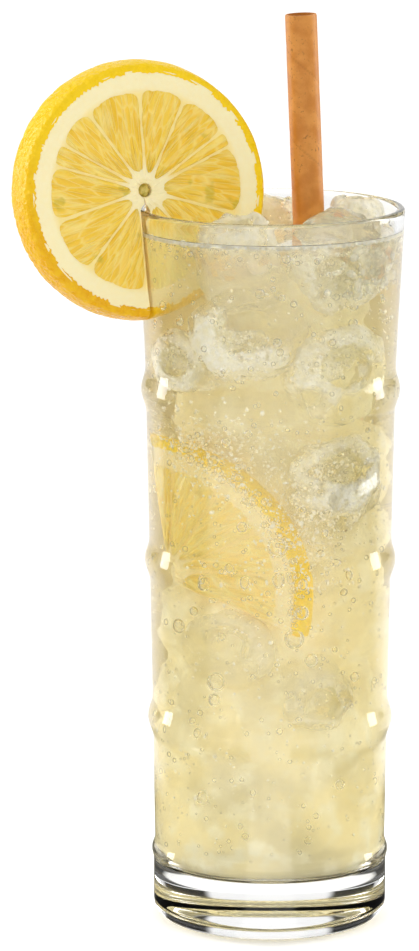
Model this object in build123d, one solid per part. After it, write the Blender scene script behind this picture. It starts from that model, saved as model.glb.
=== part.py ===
"""A tall ringed drinking glass of iced lemonade with a lemon wheel on its rim and a paper straw.

Frame: millimetres, +Z up, origin at the centre of the glass's foot, on the surface it stands on.
The drinker faces +Y.  The lemon wheel hangs on the rim on the -X side and leans towards the drinker.
"""

from build123d import *

import math
import os

# ---- glass: driving sizes ----
GLASS_HEIGHT = 176.0
RIM_RADIUS = 32.5  # outside, at the lip
THROAT_RADIUS = 31.0  # outside, where the lip starts to flare
THROAT_BELOW_RIM = 26.0
FOOT_RADIUS = 28.45  # outside of the heavy base
FOOT_ROUNDING = 5.0
WAIST_RADIUS = 28.15  # outside, just above the lowest ring
SHOULDER_RADIUS = 30.4  # outside, just above the top ring
WALL = 2.1
FLOOR_HEIGHT = 14.5  # inside bottom of the glass
FLOOR_ROUNDING = 4.0
PUNT_RADIUS = 18.5  # hollow under the foot
PUNT_DEPTH = 1.1
PUNT_EDGE_SLOPE = (1, -0.12)

# Rings round the glass: (crest, as a share of the glass's height; half height; how far it stands out).
RINGS = ((0.098, 2.7, 0.6), (0.286, 5.3, 1.2), (0.5085, 5.4, 1.15), (0.747, 5.7, 1.15))
RING_INSIDE_SHARE = 0.5  # how much of a ring's swell the inside wall follows

# ---- drink ----
LEVEL_BELOW_RIM = 6.0

# ---- straw ----
STRAW_RADIUS = 3.85
STRAW_WALL = 0.45
STRAW_ABOVE_RIM = 45.4
STRAW_FOOT = (15.6, 9.6)  # x, y of its axis at the glass floor
STRAW_TIP = (7.1, 8.6)  # x, y of its axis at its top end
STRAW_FOOT_GAP = 0.35  # its lowest edge clears the floor, so the drink can enter

# ---- lemon wheel on the rim ----
WHEEL_FACE_RADIUS = 30.0
WHEEL_BACK_RADIUS = 31.4
WHEEL_THICKNESS = 9.0
WHEEL_EDGE_ROUNDING = 0.5
WHEEL_SWELL = 0.6  # how far the peel bulges past a straight cone
WHEEL_YAW = 21.0  # degrees its face is turned towards +X
WHEEL_LEAN = 6.5  # degrees its top leans away from the drinker
WHEEL_CORE_INSIDE_WALL = 0.5  # face centre, towards the glass's axis from the middle of its wall
WHEEL_CENTRE_BEHIND = 2.3  # face centre, behind the glass's axis
WHEEL_CENTRE_ABOVE_RIM = 5.0
RIM_CLEARANCE = 0.15  # between the slit and the glass

# ---- ice that stands out of the drink ----
ICE_REACH = 17.0  # how deep below the level its lowest edge comes
ICE_GAP = 0.8  # between a piece and what it is wedged against
ICE_ROUNDING = 3.0
ICE_ROUNDING_LIMIT = 0.8  # the most that the rounding takes of the ring round the hollow
SAME_SIZE = 1e-3  # two sizes nearer than this count as the same where edges are picked
ICE_HOLLOW_SHARE = 0.5  # mouth of the hollow, as a share of the piece's radius
ICE_HOLLOW_DEPTH_SHARE = 0.45  # depth of the hollow, as a share of the length
# Loose pieces, as shares of the room inside the glass: (x, y), radius and length.
# Between them stand the centre's depth below the level and the way that the hollow end points.
ICE_RIGHT = ((0.495, -0.272), 5.6, (-0.05, -0.93, -0.34), 0.357, 0.585)
ICE_FRONT = ((-0.227, -0.488), 5.2, (-0.25, -0.30, 0.95), 0.310, 0.740)
# Wedged pieces: centre's depth below the level, way of the hollow end, and length.
ICE_BACK = (4.6, (0.22, 0.10, 0.96), 21.0)  # between the lemon wheel's back and the wall
ICE_BACK_ALONG = 6.0  # its centre, to the right along the lemon wheel's level line
ICE_FAR_RIGHT = (3.0, (0.06, 0.02, 1.0), 19.5)  # between the straw and the wall
ICE_FAR_RIGHT_BEHIND = 1.6  # its centre, behind the straw's axis


def crest_height(ring):
    """The height of a ring's crest."""
    return RINGS[ring][0] * GLASS_HEIGHT


def body_radius(height):
    """Outside radius of the glass between its rings: straight tapers through the driving radii."""
    stations = (
        (crest_height(0) - RINGS[0][1], FOOT_RADIUS),
        (crest_height(0) + RINGS[0][1], WAIST_RADIUS),
        (crest_height(-1) + RINGS[-1][1], SHOULDER_RADIUS),
        (GLASS_HEIGHT - THROAT_BELOW_RIM, THROAT_RADIUS),
        (GLASS_HEIGHT, RIM_RADIUS),
    )
    for (low, low_radius), (high, high_radius) in zip(stations, stations[1:]):
        if height <= high:
            break
    return low_radius + (height - low) / (high - low) * (high_radius - low_radius)


def side_edges(inset, swell_share, first_ring, top):
    """The side of the glass up to the height top, moved in by inset, as joined edges.

    Each ring is a smooth swelling with upright ends.  Between rings the side is straight.
    """
    edges = []
    for ring in range(first_ring, len(RINGS)):
        crest = crest_height(ring)
        half, swell = RINGS[ring][1:]
        low = (body_radius(crest - half) - inset, crest - half)
        high = (body_radius(crest + half) - inset, crest + half)
        peak = (body_radius(crest) - inset + swell * swell_share, crest)
        if edges:
            edges.append(Line(edges[-1] @ 1, low))
        edges.append(Spline(low, peak, high, tangents=((0, 1), (0, 1))))
    throat = (THROAT_RADIUS - inset, GLASS_HEIGHT - THROAT_BELOW_RIM)
    edges.append(Line(edges[-1] @ 1, throat))
    edges.append(Line(throat, (body_radius(top) - inset, top)))
    return edges


def corner_arc(centre, radius):
    """A quarter circle from straight below the centre to straight out from it."""
    x, z = centre
    share = radius * math.sqrt(0.5)
    return ThreePointArc((x, z - radius), (x + share, z - share), (x + radius, z))


def turned(edges):
    """The solid that a closed outline in the radius-height plane makes, turned about the Z axis."""
    return revolve(make_face(Plane.XZ * Wire(edges)), Axis.Z, 360)


def inside_edges(inset, top):
    """The inside of the glass, moved in by inset: flat floor, rounded corner and side up to top.

    The lowest ring lies beside the solid base, so the inside has only the rings above it.
    """
    side_start = crest_height(0) + RINGS[0][1]
    radius = body_radius(side_start) - inset
    floor = FLOOR_HEIGHT + inset - WALL
    corner = corner_arc((radius - FLOOR_ROUNDING, floor + FLOOR_ROUNDING), FLOOR_ROUNDING)
    side = side_edges(inset, RING_INSIDE_SHARE, 1, top)
    return [Line((0, floor), corner @ 0), corner, Line(corner @ 1, side[0] @ 0), *side]


def closed_to_axis(edges):
    """The edges, closed by a level line from their end to the axis and a line down the axis."""
    end = edges[-1] @ 1
    return [*edges, Line(end, (0, end.Y)), Line((0, end.Y), edges[0] @ 0)]


def inside_solid(inset, top):
    """The space inside the glass, moved in by inset, up to the height top."""
    return turned(closed_to_axis(inside_edges(inset, top))).solids()[0]


def glass():
    """The drinking glass, turned in one: hollow foot, heavy base, ringed side and half-round lip."""
    lip_start = GLASS_HEIGHT - WALL / 2
    foot_corner = corner_arc((FOOT_RADIUS - FOOT_ROUNDING, FOOT_ROUNDING), FOOT_ROUNDING)
    outer = side_edges(0, 1, 0, lip_start)
    inner = inside_edges(WALL, lip_start)
    lip_radius = body_radius(lip_start) - WALL / 2
    return turned(
        [
            Spline((0, PUNT_DEPTH), (PUNT_RADIUS, 0), tangents=((1, 0), PUNT_EDGE_SLOPE)),
            Line((PUNT_RADIUS, 0), foot_corner @ 0),
            foot_corner,
            Line(foot_corner @ 1, outer[0] @ 0),
            *outer,
            ThreePointArc(outer[-1] @ 1, (lip_radius, GLASS_HEIGHT), inner[-1] @ 1),
            *inner,
            Line(inner[0] @ 0, (0, PUNT_DEPTH)),
        ]
    ).solids()[0]


def straw_axis():
    """The straw's lower end, its direction and its length along its own axis."""
    top = GLASS_HEIGHT + STRAW_ABOVE_RIM
    rise = top - FLOOR_HEIGHT
    lean = math.hypot(STRAW_TIP[0] - STRAW_FOOT[0], STRAW_TIP[1] - STRAW_FOOT[1]) / rise
    lift = STRAW_FOOT_GAP + STRAW_RADIUS * lean
    foot = Vector(*STRAW_FOOT, FLOOR_HEIGHT + lift)
    tip = Vector(*STRAW_TIP, top)
    along = tip - foot
    return foot, along.normalized(), along.length


def straw_rod(radius):
    """A round rod of this radius along the straw's axis, as long as the straw."""
    foot, direction, length = straw_axis()
    return Plane(foot, z_dir=direction) * Cylinder(
        radius, length, align=(Align.CENTER, Align.CENTER, Align.MIN)
    )


def straw():
    """The paper straw: a thin tube, open at both ends."""
    return (straw_rod(STRAW_RADIUS) - straw_rod(STRAW_RADIUS - STRAW_WALL)).solids()[0]


def wheel_directions():
    """Level directions of the lemon wheel: to the right along its face, and away from the drinker."""
    yaw = math.radians(WHEEL_YAW)
    return Vector(math.cos(yaw), math.sin(yaw), 0), Vector(-math.sin(yaw), math.cos(yaw), 0)


def wheel_plane():
    """The lemon wheel's cut face: origin at its centre, Z out of the face, X level to the right."""
    lean = math.radians(WHEEL_LEAN)
    right, back = wheel_directions()
    wall_middle = RIM_RADIUS - WALL / 2
    centre = right * (WHEEL_CORE_INSIDE_WALL - wall_middle) + back * WHEEL_CENTRE_BEHIND
    centre += Vector(0, 0, GLASS_HEIGHT + WHEEL_CENTRE_ABOVE_RIM)
    normal = back * -math.cos(lean) + Vector(0, 0, math.sin(lean))
    return Plane(centre, x_dir=right, z_dir=normal)


def lemon_wheel():
    """A thick round slice with a bulging peel, slit from its core down to let the rim in."""
    middle = (
        (WHEEL_FACE_RADIUS + WHEEL_BACK_RADIUS) / 2 + WHEEL_SWELL,
        -WHEEL_THICKNESS / 2,
    )
    outline = [
        Line((0, 0), (WHEEL_FACE_RADIUS, 0)),
        ThreePointArc((WHEEL_FACE_RADIUS, 0), middle, (WHEEL_BACK_RADIUS, -WHEEL_THICKNESS)),
        Line((WHEEL_BACK_RADIUS, -WHEEL_THICKNESS), (0, -WHEEL_THICKNESS)),
        Line((0, -WHEEL_THICKNESS), (0, 0)),
    ]
    slice_ = turned(outline)
    rims = [e for e in slice_.edges() if e.bounding_box().size.Z < SAME_SIZE and e.length > WHEEL_FACE_RADIUS]
    slice_ = fillet(rims, WHEEL_EDGE_ROUNDING)
    placed = wheel_plane() * slice_
    return (placed - wall_with_room()).solids().sort_by(SortBy.VOLUME)[-1]


def wall_with_room():
    """The glass's side and lip, grown all round by the slit's clearance."""
    top = GLASS_HEIGHT + RIM_CLEARANCE
    outer = side_edges(-RIM_CLEARANCE, 1, 0, top)
    lump = turned(closed_to_axis(outer))
    return lump - inside_solid(WALL + RIM_CLEARANCE, top)


def ice_piece(centre, hollow_way, radius, length):
    """A rounded ice cylinder with a bowl-shaped hollow in one end."""
    half = length / 2
    mouth = radius * ICE_HOLLOW_SHARE
    depth = length * ICE_HOLLOW_DEPTH_SHARE
    outline = [
        Line((0, -half), (radius, -half)),
        Line((radius, -half), (radius, half)),
        Line((radius, half), (mouth, half)),
        Spline((mouth, half), (0, half - depth), tangents=((-0.35, -1), (-1, 0))),
        Line((0, half - depth), (0, -half)),
    ]
    block = turned(outline)
    rims = [
        e
        for e in block.edges()
        if e.bounding_box().size.Z < SAME_SIZE and abs(e.radius - radius) < SAME_SIZE
    ]
    block = fillet(rims, min(ICE_ROUNDING, ICE_ROUNDING_LIMIT * (radius - mouth)))
    return (Plane(centre, z_dir=hollow_way) * block).solids()[0]


def ice_room():
    """The smallest inside radius of the glass over the heights where this ice stands."""
    lowest = GLASS_HEIGHT - LEVEL_BELOW_RIM - ICE_REACH
    return min(body_radius(lowest), RIM_RADIUS) - WALL


def loose_ice(place, depth, way, radius_share, length_share):
    """A piece that floats free, its place and size set by the room in the glass."""
    room = ice_room()
    centre = (place[0] * room, place[1] * room, GLASS_HEIGHT - LEVEL_BELOW_RIM - depth)
    return ice_piece(centre, way, radius_share * room, length_share * room)


def ice_behind_wheel():
    """A piece as wide as the space between the lemon wheel's back face and the glass."""
    depth, way, length = ICE_BACK
    wheel_back = WHEEL_CENTRE_BEHIND + WHEEL_THICKNESS
    wall = math.sqrt(ice_room() ** 2 - ICE_BACK_ALONG**2)
    right, back = wheel_directions()
    centre = right * ICE_BACK_ALONG + back * ((wheel_back + wall) / 2)
    centre += Vector(0, 0, GLASS_HEIGHT - LEVEL_BELOW_RIM - depth)
    return ice_piece(centre, way, (wall - wheel_back) / 2 - ICE_GAP, length)


def ice_beside_straw():
    """A piece as wide as the space between the straw and the glass, to the right of the straw."""
    depth, way, length = ICE_FAR_RIGHT
    height = GLASS_HEIGHT - LEVEL_BELOW_RIM - depth
    foot, direction, _ = straw_axis()
    middle = foot + direction * ((height - foot.Z) / direction.Z)
    left = middle.X + STRAW_RADIUS
    y = middle.Y + ICE_FAR_RIGHT_BEHIND
    right = math.sqrt(ice_room() ** 2 - y**2)
    return ice_piece(((left + right) / 2, y, height), way, (right - left) / 2 - ICE_GAP, length)


def lemonade(pieces):
    """The drink: the glass's inside up to the level, cut round everything that stands in it."""
    drink = inside_solid(WALL, GLASS_HEIGHT - LEVEL_BELOW_RIM)
    for piece in pieces:
        drink = drink - piece
    return drink.solids().sort_by(SortBy.VOLUME)[-1]


def main():
    nodes = {
        "glass": glass(),
        "straw": straw(),
        "lemon_wheel": lemon_wheel(),
        "ice_right": loose_ice(*ICE_RIGHT),
        "ice_front": loose_ice(*ICE_FRONT),
        "ice_back": ice_behind_wheel(),
        "ice_far_right": ice_beside_straw(),
    }
    nodes["lemonade"] = lemonade([solid for name, solid in nodes.items() if name != "glass"])
    os.makedirs("parts", exist_ok=True)
    for name, solid in nodes.items():
        solid.label = name
        export_step(solid, f"parts/{name}.step")


main()
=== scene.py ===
"""Looks of a tall ringed glass of cloudy iced lemonade, with a lemon wheel on its rim and a paper straw.

Every length is in metres in the frame's own axes: +Z up the glass, +Y away from the drinker, and the
origin at the centre of the foot.  Sizes named here are the real object's; places come from the frame.
"""

import math

import bpy
import numpy as np
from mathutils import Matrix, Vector


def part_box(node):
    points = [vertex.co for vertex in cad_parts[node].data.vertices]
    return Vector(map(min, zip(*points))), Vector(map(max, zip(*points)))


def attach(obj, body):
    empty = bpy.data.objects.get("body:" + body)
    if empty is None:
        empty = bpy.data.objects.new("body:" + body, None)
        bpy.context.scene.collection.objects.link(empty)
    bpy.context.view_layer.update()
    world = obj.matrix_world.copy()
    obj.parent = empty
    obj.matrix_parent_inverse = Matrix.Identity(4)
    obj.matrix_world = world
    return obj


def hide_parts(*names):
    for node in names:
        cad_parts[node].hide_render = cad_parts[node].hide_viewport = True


MM = 0.001

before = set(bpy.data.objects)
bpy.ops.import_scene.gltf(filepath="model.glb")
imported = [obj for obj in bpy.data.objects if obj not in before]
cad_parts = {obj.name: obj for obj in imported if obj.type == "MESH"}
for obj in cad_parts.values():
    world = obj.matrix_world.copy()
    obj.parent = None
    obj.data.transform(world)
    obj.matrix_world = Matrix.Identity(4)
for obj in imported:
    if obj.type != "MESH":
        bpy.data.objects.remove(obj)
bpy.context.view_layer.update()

# ---- places read from the frame ----
GLASS_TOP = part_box("glass")[1][2]
DRINK_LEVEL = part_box("lemonade")[1][2]
FLOOR_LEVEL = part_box("lemonade")[0][2]
RIM_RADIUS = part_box("glass")[1][0]

# ---- the glass ----
THROAT_RADIUS = 31.0 * MM
THROAT_BELOW_RIM = 26.0 * MM
SHOULDER_RADIUS = 30.4 * MM
WAIST_RADIUS = 28.15 * MM
FOOT_RADIUS = 28.45 * MM
FOOT_ROUNDING = 5.0 * MM
WALL = 2.1 * MM
FLOOR_ROUNDING = 4.0 * MM
PUNT_RADIUS = 18.5 * MM
PUNT_DEPTH = 1.1 * MM
# Rings: crest as a share of the height, half height and swell.
RINGS = (
    (0.098, 2.7 * MM, 0.6 * MM),
    (0.286, 5.3 * MM, 1.2 * MM),
    (0.5085, 5.4 * MM, 1.15 * MM),
    (0.747, 5.7 * MM, 1.15 * MM),
)
RING_INSIDE_SHARE = 0.5

# ---- the drink ----
DRINK_INTO_WALL = 0.15 * MM
MENISCUS_RISE = 0.9 * MM
MENISCUS_WIDTH = 1.6 * MM
WATER_INDEX = 1.333
AIR_IN_WATER_INDEX = 1 / WATER_INDEX

# ---- the lemon wheel on the rim ----
WHEEL_FACE_RADIUS = 30.0 * MM
WHEEL_BACK_RADIUS = 31.4 * MM
WHEEL_THICKNESS = 9.0 * MM
WHEEL_YAW = math.radians(21.0)
WHEEL_LEAN = math.radians(6.5)
WHEEL_CORE_INSIDE_WALL = 0.5 * MM
WHEEL_CENTRE_BEHIND = 2.3 * MM
WHEEL_CENTRE_ABOVE_RIM = 5.0 * MM
SLIT_CLEARANCE = 0.15 * MM


# ======================================================================================
# Mesh makers
# ======================================================================================


def piece_from_arrays(name, points, quads, material, slot, replaces=(), marks=None, crease=None):
    """A smooth-shaded mesh piece from an (n, 3) array of points and an (m, 4) array of corner numbers.

    A quad whose last two corners are the same number is a triangle.  marks are point attributes by name,
    one value or one row of three for each point.  Edges sharper than the crease angle stay sharp.
    """
    points, quads = np.asarray(points, float), np.asarray(quads, dtype=np.int32)
    if signed_volume(points, quads) < 0:
        quads = np.where((quads[:, 2] == quads[:, 3])[:, None], quads[:, [1, 0, 2, 3]], quads[:, ::-1])
    is_triangle = quads[:, 2] == quads[:, 3]
    counts = np.where(is_triangle, 3, 4).astype(np.int32)
    starts = np.concatenate(([0], np.cumsum(counts)[:-1])).astype(np.int32)
    keep = np.ones(quads.shape, dtype=bool)
    keep[is_triangle, 3] = False
    corners = quads[keep].astype(np.int32)
    mesh = bpy.data.meshes.new(name)
    mesh.vertices.add(len(points))
    mesh.vertices.foreach_set("co", np.ascontiguousarray(points, dtype=np.float32).ravel())
    mesh.loops.add(len(corners))
    mesh.loops.foreach_set("vertex_index", corners)
    mesh.polygons.add(len(quads))
    mesh.polygons.foreach_set("loop_start", starts)
    mesh.polygons.foreach_set("use_smooth", np.ones(len(quads), dtype=bool))
    mesh.update(calc_edges=True)
    for mark, values in (marks or {}).items():
        values = np.asarray(values, dtype=np.float32)
        kind, field = ("FLOAT", "value") if values.ndim == 1 else ("FLOAT_VECTOR", "vector")
        mesh.attributes.new(mark, kind, "POINT").data.foreach_set(field, values.ravel())
    if crease is not None:
        mesh.set_sharp_from_angle(angle=crease)
    piece = bpy.data.objects.new(name, mesh)
    bpy.context.scene.collection.objects.link(piece)
    mesh.materials.append(material)
    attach(piece, "root")
    if replaces:
        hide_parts(*replaces)
    return piece


def signed_volume(points, quads):
    """The volume inside the faces: above 0 where they look outwards."""
    a, b, c, d = (points[quads[:, corner]] for corner in range(4))
    return (np.cross(a, b) * c).sum() / 6 + (np.cross(a, c) * d).sum() / 6


def grid_quads(rows, columns, wrap_rows=False, wrap_columns=False):
    """Corner numbers of the quads of a rows by columns grid of points, joined end to end where it wraps."""
    row = np.arange(rows if wrap_rows else rows - 1)
    column = np.arange(columns if wrap_columns else columns - 1)
    r, c = np.meshgrid(row, column, indexing="ij")
    r2, c2 = (r + 1) % rows, (c + 1) % columns
    here, beyond = r * columns, r2 * columns
    return np.stack([here + c, here + c2, beyond + c2, beyond + c], -1).reshape(-1, 4)


def capped_rounds(rounds, low_pole, high_pole):
    """Points and quads of a skin through rounds, a (rows, segments, 3) grid, with a pole closing each end."""
    rows, segments = rounds.shape[:2]
    j = np.arange(segments)
    after = (j + 1) % segments
    low = np.full(segments, rows * segments)
    last = (rows - 1) * segments
    points = np.concatenate([rounds.reshape(-1, 3), [low_pole, high_pole]])
    low_fan = np.stack([after, j, low, low], -1)
    high_fan = np.stack([last + j, last + after, low + 1, low + 1], -1)
    return points, np.concatenate([grid_quads(rows, segments, wrap_columns=True), low_fan, high_fan])


def turned_surface(radii, heights, segments):
    """Points and quads of a profile turned about the Z axis, both its ends on the axis.

    Point (i, j) is (r_i cos a_j, r_i sin a_j, z_i) with the a_j spread evenly round the circle.
    """
    radii, heights = np.asarray(radii, float), np.asarray(heights, float)
    angle = np.linspace(0, 2 * np.pi, segments, endpoint=False)
    rounds = about_axis(radii[1:-1, None], angle, heights[1:-1, None])
    return capped_rounds(rounds, [0, 0, heights[0]], [0, 0, heights[-1]])


def slab(front, back):
    """A closed solid between two (rows, columns, 3) grids: both grids and a strip of quads between."""
    rows, columns = front.shape[:2]
    count = rows * columns
    faces = grid_quads(rows, columns)
    low, high = np.arange(columns), (rows - 1) * columns + np.arange(columns)
    ends, starts = np.arange(2, rows) * columns - 1, np.arange(rows - 2, 0, -1) * columns
    border = np.concatenate([low, ends, high[::-1], starts])
    after = np.roll(border, -1)
    side = np.stack([after, border, border + count, after + count], -1)
    points = np.concatenate([front.reshape(-1, 3), back.reshape(-1, 3)])
    return points, np.concatenate([faces, faces[:, ::-1] + count, side])


def joined(parts):
    """Several (points, quads) as one."""
    offsets = np.cumsum([0] + [len(points) for points, _ in parts[:-1]])
    return np.concatenate([p for p, _ in parts]), np.concatenate([q + o for (_, q), o in zip(parts, offsets)])


def copies(shape, places, sizes, turns):
    """One shape many times: its points times sizes, turned by turns, moved to places; one (points, quads)."""
    points, quads = shape
    count = len(places)
    moved = np.einsum("nij,npj->npi", turns, points[None] * sizes[:, None, :]) + places[:, None, :]
    numbers = quads[None] + (np.arange(count) * len(points))[:, None, None]
    return moved.reshape(-1, 3), numbers.reshape(-1, 4)


def random_turns(rng, count):
    """Rotation matrices from random unit quaternions."""
    w, x, y, z = (q := rng.normal(size=(count, 4))).T / np.linalg.norm(q, axis=1)
    rows = (
        (1 - 2 * (y * y + z * z), 2 * (x * y - w * z), 2 * (x * z + w * y)),
        (2 * (x * y + w * z), 1 - 2 * (x * x + z * z), 2 * (y * z - w * x)),
        (2 * (x * z - w * y), 2 * (y * z + w * x), 1 - 2 * (x * x + y * y)),
    )
    return np.moveaxis(np.array(rows), -1, 0)


def ball(rows, segments):
    """A unit ball: point (i, j) at polar angle i and azimuth j."""
    polar = np.linspace(-np.pi / 2, np.pi / 2, rows)
    return turned_surface(np.cos(polar), np.sin(polar), segments)


def ripple(points, size, seed, waves=20):
    """Smooth unevenness of about -1 to 1: the sum of sines along random ways, each about size long."""
    rng = np.random.default_rng(seed)
    ways = rng.normal(size=(waves, 3))
    ways *= (2 * np.pi / size * rng.uniform(0.6, 1.4, waves) / np.linalg.norm(ways, axis=1))[:, None]
    phases = rng.uniform(0, 2 * np.pi, waves)
    return np.sin(np.asarray(points) @ ways.T + phases).sum(-1) / math.sqrt(waves)


def frame_along(way):
    """Three unit rows: two across the way and the way itself."""
    way = np.asarray(way, float) / np.linalg.norm(way)
    across = np.cross([0.0, 0.0, 1.0] if abs(way[2]) < 0.9 else [0.0, 1.0, 0.0], way)
    across /= np.linalg.norm(across)
    return np.stack([across, np.cross(way, across), way])


def stacked(*coordinates):
    """Points from their coordinates, which are arrays or numbers that broadcast together."""
    return np.stack(np.broadcast_arrays(*coordinates), -1)


def about_axis(reach, angle, height):
    """Points at these distances from the Z axis, angles from +X and heights."""
    return stacked(reach * np.cos(angle), reach * np.sin(angle), height)


def smooth_step(value, low, high):
    """0 below low, 1 above high, and an S-shaped rise between."""
    share = np.clip((value - low) / (high - low), 0, 1)
    return share * share * (3 - 2 * share)


# ======================================================================================
# The glass's profile
# ======================================================================================


def side_radius(z, inset, swell_share):
    """Radius of the glass's side at height z: straight tapers, plus at each ring a raised-cosine swelling."""
    crest = [share * GLASS_TOP for share, _, _ in RINGS]
    stations = (
        (crest[0] - RINGS[0][1], FOOT_RADIUS),
        (crest[0] + RINGS[0][1], WAIST_RADIUS),
        (crest[-1] + RINGS[-1][1], SHOULDER_RADIUS),
        (GLASS_TOP - THROAT_BELOW_RIM, THROAT_RADIUS),
        (GLASS_TOP, RIM_RADIUS),
    )
    radius = np.interp(z, [s[0] for s in stations], [s[1] for s in stations])
    for middle, (_, half, swell) in zip(crest, RINGS):
        across = np.clip((z - middle) / half, -1, 1)
        radius = radius + swell * swell_share * (0.5 + 0.5 * np.cos(np.pi * across))
    return radius - inset


def inner_radius(z):
    """Radius of the inside of the glass at height z, above its floor."""
    return side_radius(z, WALL, RING_INSIDE_SHARE)


def quarter_arc(centre_radius, centre_height, radius, count):
    """A quarter circle in the profile plane, from straight below its centre to straight out from it."""
    angle = np.linspace(-np.pi / 2, 0, count)
    return centre_radius + radius * np.cos(angle), centre_height + radius * np.sin(angle)


def inside_profile(inset, top, count):
    """Floor, rounded corner and side of the glass's inside, moved in by inset, from the axis up to top."""
    start = RINGS[0][0] * GLASS_TOP + RINGS[0][1]
    corner_radius = side_radius(start, inset, 0) - FLOOR_ROUNDING
    floor = FLOOR_LEVEL + inset - WALL
    arc_r, arc_z = quarter_arc(corner_radius, floor + FLOOR_ROUNDING, FLOOR_ROUNDING, 14)
    side_z = np.linspace(start, top, count)
    side_r = side_radius(side_z, inset, RING_INSIDE_SHARE)
    side_r[0] = arc_r[-1]
    flat_r = np.linspace(0, corner_radius, 9)[:-1]
    return np.concatenate([flat_r, arc_r, side_r]), np.concatenate([np.full(8, floor), arc_z, side_z])


def glass_profile():
    """The whole outline: hollow of the foot, outer side, half-round lip, inner side and floor."""
    lip_start = GLASS_TOP - WALL / 2
    share = np.linspace(0, 1, 10)
    punt_r = share * PUNT_RADIUS
    punt_z = PUNT_DEPTH * (0.5 + 0.5 * np.cos(np.pi * share)) * (1 - 0.25 * share)
    corner_r, corner_z = quarter_arc(FOOT_RADIUS - FOOT_ROUNDING, FOOT_ROUNDING, FOOT_ROUNDING, 12)
    side_z = np.linspace(FOOT_ROUNDING, lip_start, 190)[1:]
    side_r = side_radius(side_z, 0, 1)
    lip_angle = np.linspace(0, np.pi, 13)[1:-1]
    lip_middle = side_radius(lip_start, WALL / 2, 1)
    lip_r = lip_middle + WALL / 2 * np.cos(lip_angle)
    lip_z = lip_start + WALL / 2 * np.sin(lip_angle)
    in_r, in_z = inside_profile(WALL, lip_start, 150)
    radii = np.concatenate([punt_r, corner_r, side_r, lip_r, in_r[::-1]])
    heights = np.concatenate([punt_z, corner_z, side_z, lip_z, in_z[::-1]])
    return radii, heights


def drink_profile():
    """The drink's outline: the glass's inside, and a level top that curls up where it meets the wall."""
    side_r, side_z = inside_profile(WALL - DRINK_INTO_WALL, DRINK_LEVEL + MENISCUS_RISE, 160)
    top_r = side_r[-1] * np.concatenate([1 - np.linspace(0.004, 0.16, 18), np.linspace(0.8, 0, 14)])
    top_z = DRINK_LEVEL + MENISCUS_RISE * np.exp(-(side_r[-1] - top_r) / MENISCUS_WIDTH * 2.2)
    return np.concatenate([side_r, top_r]), np.concatenate([side_z, top_z])


# ======================================================================================
# Shader groups that several materials share
# ======================================================================================


def new_group(name, inputs, output, kind):
    """An empty shader group with float inputs at their usual values, and one output; returns its ends."""
    group = bpy.data.node_groups.new(name, "ShaderNodeTree")
    for label, usual in inputs:
        socket = group.interface.new_socket(label, in_out="INPUT", socket_type="NodeSocketFloat")
        socket.default_value = usual
    group.interface.new_socket(output, in_out="OUTPUT", socket_type=kind)
    return group, group.nodes.new("NodeGroupInput"), group.nodes.new("NodeGroupOutput")


def mottle_group():
    """Soft patches: noise on Object coordinates, spread to a 0 to 1 mask between two of its levels."""
    inputs = (("Scale", 100.0), ("Detail", 3.0), ("Low", 0.4), ("High", 0.6))
    group, given, result = new_group("mottle", inputs, "Mask", "NodeSocketFloat")
    nodes, links = group.nodes, group.links
    place = nodes.new("ShaderNodeTexCoord")
    noise = nodes.new("ShaderNodeTexNoise")
    spread = nodes.new("ShaderNodeMapRange")
    spread.interpolation_type = "SMOOTHSTEP"
    links.new(place.outputs["Object"], noise.inputs["Vector"])
    links.new(given.outputs["Scale"], noise.inputs["Scale"])
    links.new(given.outputs["Detail"], noise.inputs["Detail"])
    links.new(noise.outputs["Fac"], spread.inputs["Value"])
    links.new(given.outputs["Low"], spread.inputs["From Min"])
    links.new(given.outputs["High"], spread.inputs["From Max"])
    links.new(spread.outputs["Result"], result.inputs["Mask"])
    return group


def relief_group():
    """Fine unevenness as a normal: rounded cells and finer noise, both on Object coordinates."""
    inputs = (("Cell Scale", 900.0), ("Grain Scale", 2500.0), ("Grain Share", 0.3), ("Depth", 0.0001))
    group, given, result = new_group("relief", inputs, "Normal", "NodeSocketVector")
    nodes, links = group.nodes, group.links
    place = nodes.new("ShaderNodeTexCoord")
    cells = nodes.new("ShaderNodeTexVoronoi")
    grain = nodes.new("ShaderNodeTexNoise")
    both = nodes.new("ShaderNodeMix")
    bump = nodes.new("ShaderNodeBump")
    links.new(place.outputs["Object"], cells.inputs["Vector"])
    links.new(place.outputs["Object"], grain.inputs["Vector"])
    links.new(given.outputs["Cell Scale"], cells.inputs["Scale"])
    links.new(given.outputs["Grain Scale"], grain.inputs["Scale"])
    links.new(given.outputs["Grain Share"], both.inputs["Factor"])
    links.new(cells.outputs["Distance"], both.inputs["A"])
    links.new(grain.outputs["Fac"], both.inputs["B"])
    links.new(both.outputs["Result"], bump.inputs["Height"])
    links.new(given.outputs["Depth"], bump.inputs["Distance"])
    links.new(bump.outputs["Normal"], result.inputs["Normal"])
    return group


MOTTLE = mottle_group()
RELIEF = relief_group()


# ======================================================================================
# Materials
# ======================================================================================


def new_material(name):
    """An empty node material with its output and a Principled shader."""
    material = bpy.data.materials.new(name)
    material.use_nodes = True
    nodes = material.node_tree.nodes
    nodes.clear()
    output = nodes.new("ShaderNodeOutputMaterial")
    shader = nodes.new("ShaderNodeBsdfPrincipled")
    material.node_tree.links.new(shader.outputs[0], output.inputs[0])
    return material, shader, output


def placed_group(material, group, **values):
    """The output of a shared group placed in a material with its own values; names take underscores."""
    node = material.node_tree.nodes.new("ShaderNodeGroup")
    node.node_tree = group
    for label, value in values.items():
        node.inputs[label.replace("_", " ")].default_value = value
    return node.outputs[0]


def mark_output(material, name, output="Fac"):
    """The value of one of the piece's point attributes."""
    node = material.node_tree.nodes.new("ShaderNodeAttribute")
    node.attribute_name = name
    return node.outputs[output]


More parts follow.
